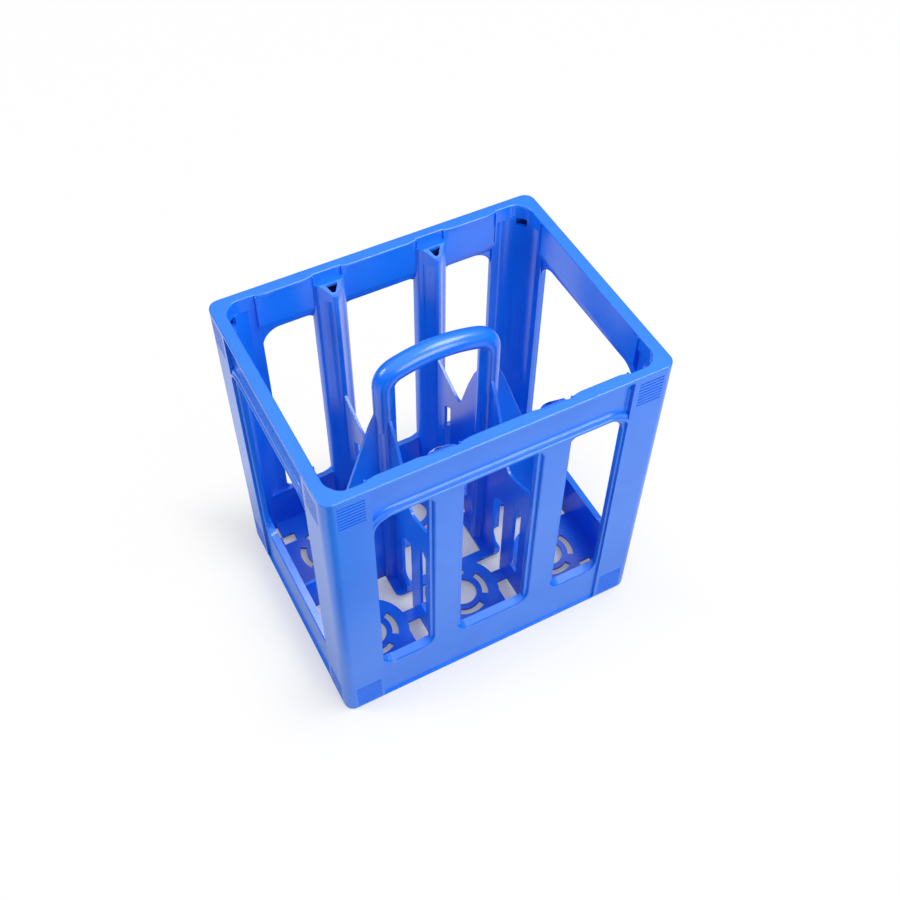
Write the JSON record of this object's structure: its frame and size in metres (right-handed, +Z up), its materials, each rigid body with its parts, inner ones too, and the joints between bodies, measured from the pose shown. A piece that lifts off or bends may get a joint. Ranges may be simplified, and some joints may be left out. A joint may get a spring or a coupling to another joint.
{
  "type": "bottle crate",
  "caption": "Tall open-sided carrier for bottles with windowed walls, slotted rings in the floor, low dividers and a fixed centre handle.",
  "frame": {"origin": "centre of the crate's footprint, on the plane it stands on", "axes": "+Z up, +X along the long three-bottle side, -Y towards the front long wall"},
  "size_m": [0.3, 0.228, 0.32],
  "materials": {
    "moulded_blue_polyethylene": "satin moulded blue polyethylene"
  },
  "bodies": {
    "root": {"rim": "moulded_blue_polyethylene", "front_band": "moulded_blue_polyethylene", "front_rail": "moulded_blue_polyethylene", "window_post_front_left": "moulded_blue_polyethylene", "window_post_front_right": "moulded_blue_polyethylene", "back_band": "moulded_blue_polyethylene", "back_rail": "moulded_blue_polyethylene", "window_post_back_left": "moulded_blue_polyethylene", "window_post_back_right": "moulded_blue_polyethylene", "left_band": "moulded_blue_polyethylene", "left_rail": "moulded_blue_polyethylene", "right_band": "moulded_blue_polyethylene", "right_rail": "moulded_blue_polyethylene", "corner_post_front_left": "moulded_blue_polyethylene", "corner_post_front_right": "moulded_blue_polyethylene", "corner_post_back_left": "moulded_blue_polyethylene", "corner_post_back_right": "moulded_blue_polyethylene", "corner_cradle_front_left": "moulded_blue_polyethylene", "corner_cradle_front_right": "moulded_blue_polyethylene", "corner_cradle_back_left": "moulded_blue_polyethylene", "corner_cradle_back_right": "moulded_blue_polyethylene", "wall_column_front_left": "moulded_blue_polyethylene", "wall_column_front_right": "moulded_blue_polyethylene", "wall_column_back_left": "moulded_blue_polyethylene", "wall_column_back_right": "moulded_blue_polyethylene", "stacking_foot": "moulded_blue_polyethylene", "bottle_rest_front_left": "moulded_blue_polyethylene", "bottle_rest_front_middle": "moulded_blue_polyethylene", "bottle_rest_front_right": "moulded_blue_polyethylene", "bottle_rest_back_left": "moulded_blue_polyethylene", "bottle_rest_back_middle": "moulded_blue_polyethylene", "bottle_rest_back_right": "moulded_blue_polyethylene", "post_foot_left": "moulded_blue_polyethylene", "post_foot_right": "moulded_blue_polyethylene", "floor_bar_front_left": "moulded_blue_polyethylene", "floor_bar_front_right": "moulded_blue_polyethylene", "floor_bar_back_left": "moulded_blue_polyethylene", "floor_bar_back_right": "moulded_blue_polyethylene", "cross_divider_front_left": "moulded_blue_polyethylene", "cross_divider_front_right": "moulded_blue_polyethylene", "cross_divider_back_left": "moulded_blue_polyethylene", "cross_divider_back_right": "moulded_blue_polyethylene", "end_divider_left": "moulded_blue_polyethylene", "end_divider_right": "moulded_blue_polyethylene", "handle_post_left": "moulded_blue_polyethylene", "handle_post_right": "moulded_blue_polyethylene", "handle_bow": "moulded_blue_polyethylene"}
  },
  "joints": []
}
